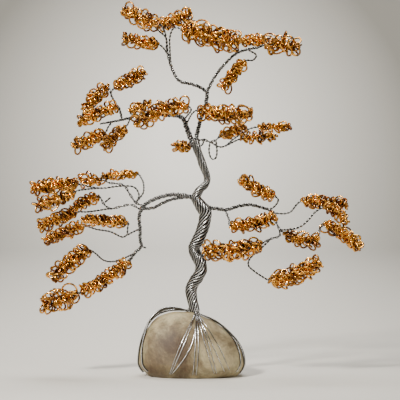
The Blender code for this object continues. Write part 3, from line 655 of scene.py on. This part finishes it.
def leaf_coil(route, coil, twig_radius, random):
    """Point = twig + out (low + a (1 - cos p)) + beside clear cos t + across a (sin p + lean (1 - cos p)).

    p turns once for each loop, and out turns round the twig once for LOOPS_PER_TURN loops.
    beside = tangent x out and across = tangent cos t + beside sin t, where t says how far a loop
    has turned from lying along the twig to going round it. a, the size of the loop, falls to
    nothing at both ends.
    """
    line, along = smooth_line(on_grid(route), 0.25 * MM, coil.first, coil.last)
    turns = along[-1] / (TURN_PITCH * random.uniform(FEWEST, MOST))
    loops = round(turns * LOOPS_PER_TURN * random.uniform(FEWEST, MOST))
    count = loops * POINTS_PER_LOOP
    u = np.linspace(0, 1, count)
    u_line = np.linspace(0, 1, len(line))
    carried = [
        np.column_stack([np.interp(u, u_line, field[:, k]) for k in range(3)])
        for field in (line, *frames(line))
    ]
    middle, tangent, side, up = carried
    around = 2 * math.pi * turns * u + wander(random, loops, count, ROUND_WANDER)
    p = 2 * math.pi * loops * u
    swell = np.clip(np.minimum(u, 1 - u) / LEAF_ENDS, 0, 1) ** LEAF_BLUNT
    clear = twig_radius + LEAF_WIRE + TWIG_CLEARANCE
    reach = coil.share * LEAF_RADIUS - LEAF_WIRE
    full = LOOP_SHARE * reach
    a = full * swell * (1 + wander(random, loops, count, SIZE_WANDER))
    lean = wander(random, loops, count, LEAN_WANDER)
    out = np.cos(around)[:, None] * side + np.sin(around)[:, None] * up
    beside = np.cross(tangent, out)
    high = ((reach - 2 * full) * swell + a * (1 - np.cos(p)))[:, None]
    over = (a * (np.sin(p) + lean * (1 - np.cos(p))))[:, None]
    t = (LOOP_TURN + wander(random, loops, count, TURN_WANDER))[:, None]
    across = tangent * np.cos(t) + beside * np.sin(t)
    wire = middle + out * high + beside * clear * np.cos(t) + across * over
    points, faces, _ = tube(wire[None], beside[None], LEAF_WIRE)
    # Painted shade: loops get darker the nearer they lie to the twig, where the coil shades itself.
    sunk = 1 - np.hypot(high[:, 0], clear) / reach
    return points, faces, np.repeat(LEAF_SHADE * np.clip(sunk, 0, 1) ** 2, len(points) // count)


# %% A leaf coil on every twig
random = np.random.default_rng(7)
total = 0
for limb in LIMBS:
    wound = [(limb.route, coil, limb.thin * LIMB_RADIUS) for coil in limb.coils]
    wound += [(twig.route, coil, 2 * PAIR_WIRE) for twig in limb.twigs for coil in twig.coils]
    for route, coil, held in wound:
        shape = leaf_coil(route, coil, held, random)
        total += make_piece(coil.name + "_wire", [shape], copper, "copper_wire", coil.name)
print("leaf faces:", total)

# %% [markdown]
# ## The stone
#
# A river stone is a lump that water has rounded. This one has a full left shoulder, a long slope
# down to the right and a flat underside. It could be sculpted, but a formula can be asked again
# where its surface is, and the roots need that. Its outline is a rounded box at every height,
# whose left, right and depth follow three curves. Shallow waves break the evenness.


# %% Helpers for the stone
STONE_POWER = 2.3  # 2 would make ovals, and more comes nearer to boxes
STONE_CURVES = ((2.6, 0.28, 0.80), (3.0, 1.0, 0.86), (2.2, 0.5, 0.72))  # p, q and foot of the three
TURN_IN_HEIGHT = 0.24
WAYS = 5  # waves of each length


def stone_shares(height):
    """Left, right and depth shares at a height share h: (1 - h^p)^q, drawn in near the floor.

    On the floor they are foot times that. Towards TURN_IN_HEIGHT this fades out by a square.
    """
    below = np.clip(1 - height / TURN_IN_HEIGHT, 0, 1) ** 2
    return [(1 - height**p) ** q * (1 - (1 - foot) * below) for p, q, foot in STONE_CURVES]


def ripples(points, waves, size, random):
    """Sum of sine waves that cross the stone in random directions, each finer one lower."""
    total = np.zeros(len(points))
    for length in waves:
        way = unit(random.normal(size=(WAYS, 3)))
        phase = random.uniform(0, 2 * math.pi, WAYS)
        total += (np.sin(points @ way.T * 2 * math.pi / length + phase)).sum(axis=1) * length
    return total * size


def rounded(share, power=2 / STONE_POWER):
    """A circle's cosine or sine made squarer: its size to a power, with its sign."""
    return np.sign(share) * np.abs(share) ** power


# %% Stone
AROUND, LEVELS = 220, 150
TOP = 0.9995  # share of the height at which the last ring closes the stone
RELIEF, RELIEF_WAVES = 0.004, (60 * MM, 31 * MM, 14 * MM)
FLAT_BELOW = 6 * MM  # the relief fades out towards the floor
angle = 2 * math.pi * (np.arange(AROUND) + 0.5) / AROUND
level = 1 - (1 - np.linspace(0, 1, LEVELS)) ** 1.5
level = np.clip(level, 0, TOP)[:, None]
left, right, depth = stone_shares(level)
across, away = np.cos(angle), np.sin(angle)
x = rounded(across) * np.where(across > 0, right, left) * STONE_WIDTH / 2
y = rounded(away) * depth * STONE_DEPTH / 2
stone_points = np.stack([x, y, np.broadcast_to(level * STONE_HEIGHT, x.shape)], -1).reshape(-1, 3)
heart = np.array([0, 0, 0.4 * STONE_HEIGHT])
outward = unit(stone_points - heart)
lift = ripples(stone_points, RELIEF_WAVES, RELIEF, np.random.default_rng(3))
lift *= np.clip(stone_points[:, 2] / FLAT_BELOW, 0, 1)
stone_points += outward * lift[:, None]
index = np.arange(AROUND * LEVELS).reshape(LEVELS, AROUND)
low, high = index[:-1], index[1:]
quads = np.stack([low, np.roll(low, -1, 1), np.roll(high, -1, 1), high], -1).reshape(-1, 4)
stone_faces = quads.tolist() + [index[0, ::-1].tolist(), index[-1].tolist()]
# The stone gets no painted shade.
stone_painted_shade = np.zeros(len(stone_points))
print("stone relief in mm:", np.round([lift.min() / MM, lift.max() / MM], 2).tolist())

# %% [markdown]
# ### The finish of the stone
#
# The stone is cream and brown in patches, with a browner cloud at the left of its front. Fine
# grains sit in it, some darker and some paler. Water has left it matt, and a little light goes
# into it, so its shadows are soft. A picture could be wrapped round it, but that leaves a seam
# somewhere. Noise has none.

# %% Stone finish
DARK_BROWN, BROWN, CREAM = (0.062, 0.034, 0.013, 1), (0.15, 0.108, 0.052, 1), (0.35, 0.29, 0.16, 1)
BROWN_CLOUD = (-0.013, -0.025, 0.02)  # its middle in metres
pebble, tree, shader = new_material(
    "river stone", Roughness=0.62, Subsurface_Weight=0.12, Subsurface_Scale=0.004
)
place = add_node(tree, "ShaderNodeTexCoord")
cloud = add_node(
    tree, "ShaderNodeTexNoise",
    Vector=(place, "Object"), Scale=40.0, Detail=8.0, Roughness=0.7, Distortion=0.5,
)
away = add_node(
    tree, "ShaderNodeVectorMath", {"operation": "DISTANCE"}, _0=(place, "Object"), _1=BROWN_CLOUD
)
tint = add_node(
    tree, "ShaderNodeMapRange",
    Value=(away, "Value"), From_Min=0.006, From_Max=0.034, To_Min=-0.12, To_Max=0.1,
)
shaded = add_node(tree, "ShaderNodeMath", _0=(cloud, "Fac"), _1=(tint, "Result"))
patch = add_node(tree, "ShaderNodeValToRGB", Fac=(shaded, "Value"))
ramp = patch.color_ramp
ramp.elements[0].position, ramp.elements[0].color = 0.34, DARK_BROWN
ramp.elements[1].position, ramp.elements[1].color = 0.66, CREAM
ramp.elements.new(0.5).color = BROWN
fine = add_node(tree, "ShaderNodeTexNoise", Vector=(place, "Object"), Scale=420.0, Detail=4.0, Roughness=0.7)
grain = add_node(
    tree, "ShaderNodeMapRange",
    Value=(fine, "Fac"), From_Min=0.3, From_Max=0.7, To_Min=0.72, To_Max=1.18,
)
toned, toned_colour = mix_colours(tree, 1.0, (patch, "Color"), (grain, "Result"), "MULTIPLY")
tree.links.new(toned.outputs[toned_colour], shader.inputs["Base Color"])
relief = add_node(tree, "ShaderNodeBump", Strength=0.35, Distance=0.0006, Height=(fine, "Fac"))
tree.links.new(relief.outputs["Normal"], shader.inputs["Normal"])
count = make_piece("river_stone", [(stone_points, stone_faces, stone_painted_shade)], pebble, "stone", "stone")
print("stone faces:", count)

# %% [markdown]
# ## Roots
#
# The wires of the trunk end as roots. They splay at the foot, run down over the stone and are
# tucked under its rim. A taut wire takes the short way, so each root is a straight run from the
# foot to the rim, pushed out from the middle of the stone until it lies on the surface.


# %% Laying a line on the stone
HALVINGS = 32
FARTHEST = 80 * MM
HIGHEST = 0.9999  # share of the height at which the stone still has a width


def on_stone(points, across, clearance):
    """Halves the distance along a ray from the middle line of the stone until it meets the surface.

    The middle line runs along across, so a wire keeps its place along that line. A place is
    inside where |x / X(z)|^n + |y / Y(z)|^n < 1, with X and Y the half sizes there.
    """
    middle = np.outer(points @ across, across) + np.array([0, 0, 0.45 * STONE_HEIGHT])
    way = unit(points - middle)
    near, far = np.zeros(len(points)), np.full(len(points), FARTHEST)
    for _ in range(HALVINGS):
        trial = (near + far) / 2
        place = middle + way * trial[:, None]
        level = np.clip(place[:, 2] / STONE_HEIGHT, 0, HIGHEST)
        left, right, depth = stone_shares(level)
        half_x = np.where(place[:, 0] > 0, right, left) * STONE_WIDTH / 2
        half_y = depth * STONE_DEPTH / 2
        within = np.abs(place[:, 0] / half_x) ** STONE_POWER + np.abs(place[:, 1] / half_y) ** STONE_POWER < 1
        within &= (place[:, 2] > 0) & (place[:, 2] < STONE_HEIGHT)
        near, far = np.where(within, trial, near), np.where(within, far, trial)
    return middle + way * (near + clearance)[:, None], way


# %% Root wires
ROOT_CLEARANCE = 0.25 * MM
LIFTED = 0.45  # share of a run in which a lifted wire stands off the stone
GATHER = 0.35  # share of the starts' spread that is left where the wires gather
GATHER_HEIGHT, ENTRY_HEIGHT = 2.6 * MM, 2 * MM
HUG, ENTER = 0.97, 0.3  # shares of the way out from the trunk's middle
RUN_POINTS, TIMES = 60, 5


def root_wires(starts, ends, bows, lifts, across, radius):
    """Runs laid on the stone, nearly straight when seen square to across, and led into the trunk.

    Place along across = that of the start + (that of the end - that of the start) x share of the
    fall + bow sin(pi x share). Laying a point changes its height, so this is worked out again a
    few times. A wire with a lift stands off the stone by that much in the first part of its run.
    Above the stone the wires gather on the face of the trunk and end inside it.
    """
    shapes = []
    middle = starts.mean(axis=0)
    for start, end, bow, lift in zip(starts, ends, bows, lifts):
        share = np.linspace(0, 1, RUN_POINTS)
        run = start + share[:, None] * (np.array(end) - start)
        off = lift * np.sin(math.pi * np.clip(share / LIFTED, 0, 1)) ** 2
        for _ in range(TIMES):
            laid, way = on_stone(run, across, radius + ROOT_CLEARANCE)
            fall = (laid[0, 2] - laid[:, 2]) / (laid[0, 2] - laid[-1, 2])
            wanted = laid[0] @ across + fall * ((laid[-1] - laid[0]) @ across) + bow * np.sin(math.pi * fall)
            run = laid + np.outer(wanted - laid @ across, across)
        laid += way * off[:, None]
        gathered = middle + GATHER * (laid[0] - middle) + np.array([0, 0, GATHER_HEIGHT])
        leaves = FOOT + (gathered - FOOT) * [HUG, HUG, 1]
        inside = FOOT + (gathered - FOOT) * [ENTER, ENTER, 1] + np.array([0, 0, ENTRY_HEIGHT])
        line, _ = smooth_line(np.vstack([inside, leaves, laid]), 1.2 * MM)
        outward = unit(line - np.array([0, 0, 0.3 * STONE_HEIGHT]))
        shapes.append(tube(line[None], outward[None], radius, sides=8))
    return shapes


# %% Where the roots run
# out is the side of the trunk they leave, and across the way along which they spread. apex is
# the middle of their starts and spread the gap between them over the wire's radius. How far each
# one bows sideways and lifts off the stone is in mm.
RootSide = namedtuple("RootSide", "out across apex spread radius ends bows lifts")
FINE_ROOT, LEFT_ROOT, RIGHT_ROOT = 0.36 * MM, 0.75 * MM, 0.55 * MM
wide, deep, low = STONE_WIDTH / 2, STONE_DEPTH / 2, 0.02 * STONE_HEIGHT
ROOT_SIDES = {
    "front": RootSide(
        out=(0, -1, 0), across=(1, 0, 0), apex=2.2 * MM, spread=0.9, radius=FINE_ROOT,
        ends=[(s * wide, -deep, low) for s in (-0.41, -0.39, -0.37, 0.02, 0.08, 0.42, 0.46, 0.61, 0.70)],
        bows=[-1.2, 0.6, 6, 0.6, 1.6, -0.4, 1.4, 0.6, 2.4], lifts=[0, 0.5, 0.8, 0.2, 0.8, 0.4, 1, 0, 0.5],
    ),
    "back": RootSide(
        out=(0, 1, 0), across=(1, 0, 0), apex=0, spread=1.0, radius=FINE_ROOT,
        ends=[(s * wide, deep, low) for s in (-0.40, -0.55, 0.05, 0.62, 0.45)],
        bows=[0] * 5, lifts=[0] * 5,
    ),
    "left": RootSide(
        out=(-1, 0, 0), across=(0, 1, 0), apex=-1.5 * MM, spread=1.6, radius=LEFT_ROOT,
        ends=[(-wide, s * deep, low) for s in (-0.55, -0.1, 0.5)],
        bows=[0, -2, 0], lifts=[4.2, 2.8, 0.8],
    ),
    "right": RootSide(
        out=(1, 0, 0), across=(0, 1, 0), apex=-1 * MM, spread=1.6, radius=RIGHT_ROOT,
        ends=[(wide, s * deep, low) for s in (-0.55, -0.3, 0.1, 0.4)],
        bows=[-1, 0, 0, 1], lifts=[1.2, 0.4, 0.8, 0],
    ),
}  # fmt: skip
print("root wires:", {name: len(side.ends) for name, side in ROOT_SIDES.items()})

# %% Roots
foot_radius = TRUNK[0][1] * TRUNK_RADIUS + FOOT_SWELL
total = 0
for name, side in ROOT_SIDES.items():
    slots = (np.arange(len(side.ends)) - (len(side.ends) - 1) / 2) * side.radius * side.spread
    across = np.array(side.across)
    starts = FOOT + np.array(side.out) * foot_radius + (side.apex + slots)[:, None] * across
    bows, lifts = np.array(side.bows) * MM, np.array(side.lifts) * MM
    shapes = root_wires(starts, side.ends, bows, lifts, across, side.radius)
    # The roots take the paler copy of the silver, which is painted light.
    total += make_piece(f"root_wires_{name}_fine", shapes, painted_lit_silver, "silver_wire", "root_wires_" + name)
print("root faces:", total)

# %% [markdown]
# ## The room
#
# The backdrop is a wide bowl that is flat under the stone and sweeps up all round it, so no line
# crosses the picture from any side. Large soft lamps stand at both sides and above, a small one
# in front casts the highlights, and one more lights the wall behind. Between them the room is
# dim: metal shows what is round it, and wire only looks round if it has something dark to show.
# The paper's colour is painted paler behind the tree than at the edges: a painted pool of light, as where a
# lamp's light falls off.


# %% Backdrop
def bowl(radius, rise, bend, steps=96):
    """A profile of floor, quarter circle and wall, turned once round the upright axis."""
    turn = np.linspace(0, math.pi / 2, steps // 4)
    profile_r = np.concatenate([radius - bend + bend * np.sin(turn), [radius]])
    profile_z = np.concatenate([bend - bend * np.cos(turn), [rise]])
    angle = np.arange(steps) * 2 * math.pi / steps
    ring = np.column_stack([np.cos(angle), np.sin(angle), np.zeros(steps)])
    points = (profile_r[:, None, None] * ring + profile_z[:, None, None] * (0, 0, 1)).reshape(-1, 3)
    near = (np.arange(len(profile_r) - 1)[:, None] * steps + np.arange(steps)).ravel()
    after = near // steps * steps + (near + 1) % steps
    walls = np.column_stack([near, after, after + steps, near + steps])[:, ::-1]
    return points, [list(range(steps))] + walls.tolist()


points, faces = bowl(radius=2.6, rise=2.8, bend=1.0)
mesh = bpy.data.meshes.new("backdrop")
mesh.from_pydata(points, [], faces)
mesh.shade_smooth()
print("backdrop faces:", len(faces))

# %% Backdrop finish
# A painted pool of light: the paper's colour is paler behind the tree and darker towards the edges, as where
# a lamp's light falls off.
PAINTED_LIT_PAPER, PAINTED_DIM_PAPER = (0.74, 0.705, 0.635, 1), (0.17, 0.16, 0.135, 1)
PAINTED_LIGHT_MIDDLE = (-0.02, 0, 0.18)  # in metres, behind the tree
paper, tree, shader = new_material("backdrop paper", Roughness=0.9)
place = add_node(tree, "ShaderNodeTexCoord")
flat = add_node(tree, "ShaderNodeVectorMath", {"operation": "MULTIPLY"}, _0=(place, "Object"), _1=(1, 0, 1))
away = add_node(tree, "ShaderNodeVectorMath", {"operation": "DISTANCE"}, _0=(flat, "Vector"), _1=PAINTED_LIGHT_MIDDLE)
painted_falloff = add_node(tree, "ShaderNodeMapRange", Value=(away, "Value"), From_Min=0.06, From_Max=0.46)
toned, toned_colour = mix_colours(tree, (painted_falloff, "Result"), PAINTED_LIT_PAPER, PAINTED_DIM_PAPER)
tree.links.new(toned.outputs[toned_colour], shader.inputs["Base Color"])
mesh.materials.append(paper)
backdrop = bpy.data.objects.new("backdrop", mesh)
bpy.context.scene.collection.objects.link(backdrop)
print("backdrop finish:", paper.name)


# %% Lamps
def aim(thing, target):
    """Turns a lamp or camera, which looks down its own z axis, towards the target."""
    way = np.array(target, float) - np.array(thing.location)
    flat = math.hypot(way[0], way[1])
    thing.rotation_euler = (math.pi / 2 + math.atan2(way[2], flat), 0, math.atan2(-way[0], way[1]))


def softbox(name, place, target, size, power, colour=(1, 1, 1)):
    """An area lamp of that width and height in metres and that power in watts."""
    light = bpy.data.lights.new(name, "AREA")
    light.shape, light.size, light.size_y = "RECTANGLE", size[0], size[1]
    light.energy, light.color = power, colour
    lamp = bpy.data.objects.new(name, light)
    lamp.location = place
    bpy.context.scene.collection.objects.link(lamp)
    aim(lamp, target)


CENTRE = (6.55 * MM, 0, 140.9 * MM)  # where the camera and most lamps look
softbox("key softbox", (-0.8, -1.0, 1.1), CENTRE, (0.22, 0.22), 47, (1, 0.97, 0.92))
softbox("left softbox", (-2.15, -1.0, 0.73), CENTRE, (1.0, 1.65), 27, (1, 0.98, 0.95))
softbox("right softbox", (2.1, -1.3, 0.88), CENTRE, (0.8, 1.6), 36, (1, 0.98, 0.95))
softbox("top softbox", (0.1, 0.3, 1.5), CENTRE, (1.0, 0.7), 22)
softbox("backdrop softbox", (0, 1.0, 2.2), (0, 2.6, 1.2), (1.4, 0.6), 90)

# %% Room light and camera
world = bpy.data.worlds.new("room")
world.use_nodes = True
world.node_tree.nodes["Background"].inputs["Color"].default_value = (0.93, 0.95, 1, 1)
world.node_tree.nodes["Background"].inputs["Strength"].default_value = 0.1
bpy.context.scene.world = world

CAMERA_DISTANCE, FIELD_WIDTH = 1.5, 0.32
CAMERA_RISE = math.radians(2)
SENSOR = 36
lens = bpy.data.cameras.new("camera")
lens.sensor_width, lens.lens = SENSOR, SENSOR * CAMERA_DISTANCE / FIELD_WIDTH
camera = bpy.data.objects.new("camera", lens)
camera.location = (
    CENTRE[0], -CAMERA_DISTANCE * math.cos(CAMERA_RISE), CENTRE[2] + CAMERA_DISTANCE * math.sin(CAMERA_RISE)
)
bpy.context.scene.collection.objects.link(camera)
aim(camera, CENTRE)
bpy.context.scene.camera = camera
print("camera at", np.round(camera.location[:], 3).tolist())
